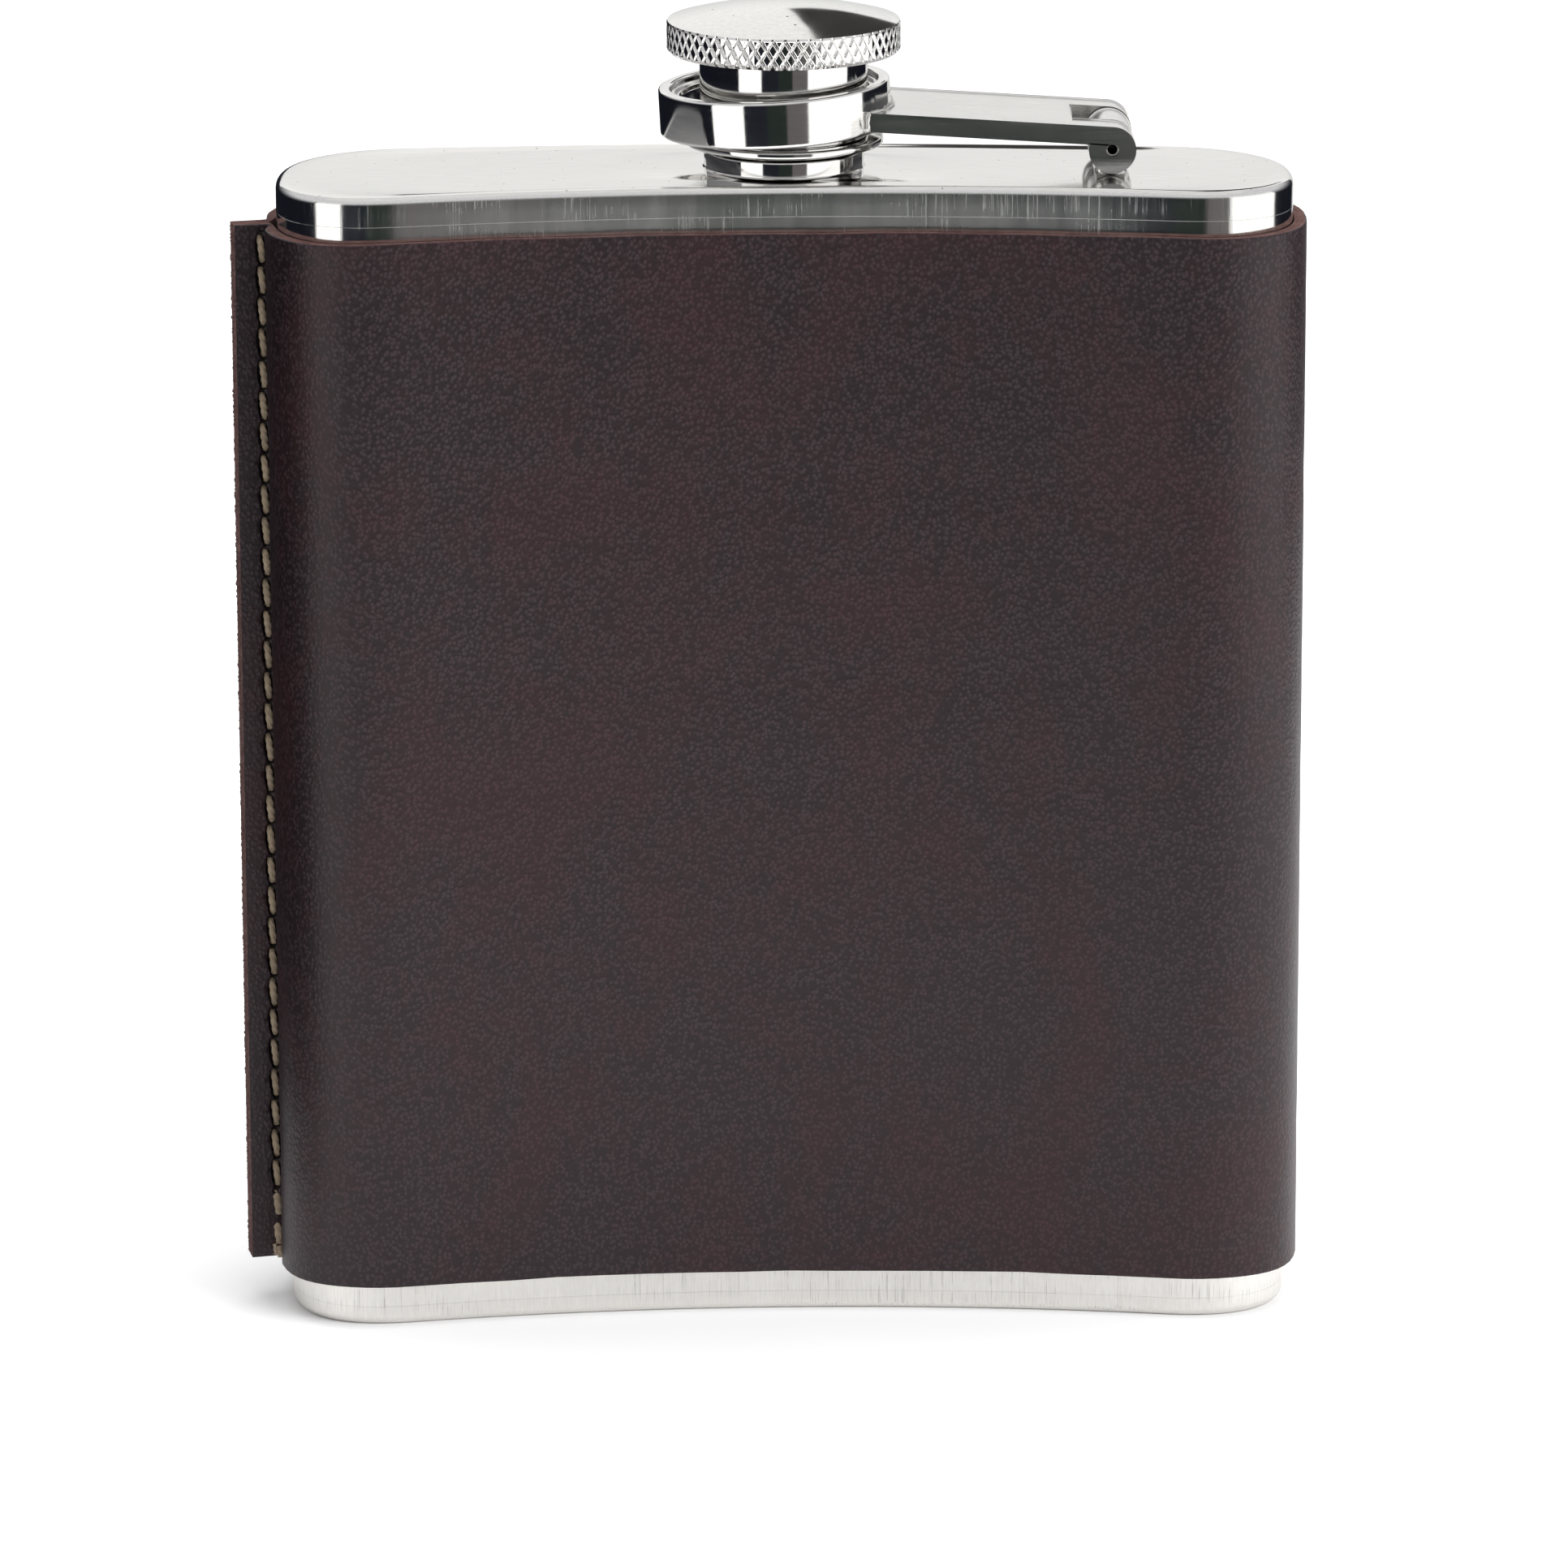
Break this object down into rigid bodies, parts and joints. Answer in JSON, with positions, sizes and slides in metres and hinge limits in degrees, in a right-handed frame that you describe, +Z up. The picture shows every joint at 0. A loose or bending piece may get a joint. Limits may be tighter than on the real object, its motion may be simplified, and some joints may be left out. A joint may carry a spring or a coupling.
{
  "type": "hip flask",
  "caption": "Slim curved steel hip flask in a sewn dark leather sleeve, with a knurled screw cap held on a hinged captive arm.",
  "frame": {"origin": "on the flat of the bottom plate, directly below the middle of the neck", "axes": "+Z up along the neck, +X across the width toward the cap's hinge, the hollow face of the body looks toward -Y"},
  "size_m": [0.0998, 0.0283, 0.1232],
  "materials": {
    "polished_steel": "mirror polished stainless steel",
    "satin_steel": "satin brushed stainless steel",
    "leather": "dark brown pebbled leather, satin",
    "thread": "waxed twisted thread, matt",
    "silicone": "matt food grade silicone"
  },
  "bodies": {
    "flask": {"body_shell": "satin_steel", "top_plate": "polished_steel", "bottom_plate": "satin_steel", "leather_sleeve": "leather", "front_thread": "thread", "rear_thread": "thread", "neck": "polished_steel", "hinge_post": "polished_steel", "hinge_pin": "satin_steel"},
    "arm": {"captive_ring": "polished_steel", "captive_arm": "polished_steel"},
    "washer": {"retaining_washer": "polished_steel"},
    "cap": {"cap_knob": "polished_steel", "cap_sleeve": "polished_steel", "cap_gasket": "silicone"}
  },
  "joints": [
    {"name": "arm_swing", "type": "hinge", "parent": "flask", "child": "arm", "pos_m": [0.0302, 0, 0.1105], "axis": [0, 1, 0], "range_deg": [0, 170]},
    {"name": "cap_rise", "type": "slide", "parent": "arm", "child": "washer", "axis": [0, 0, 1], "range_m": [0, 0.003]},
    {"name": "cap_spin", "type": "hinge", "parent": "washer", "child": "cap", "pos_m": [0, 0, 0.1105], "axis": [0, 0, 1], "range_deg": [0, 540]}
  ],
  "couplings": [
    {"joint": "cap_spin", "follows": "cap_rise", "rad_per_m": 3141.6}
  ]
}
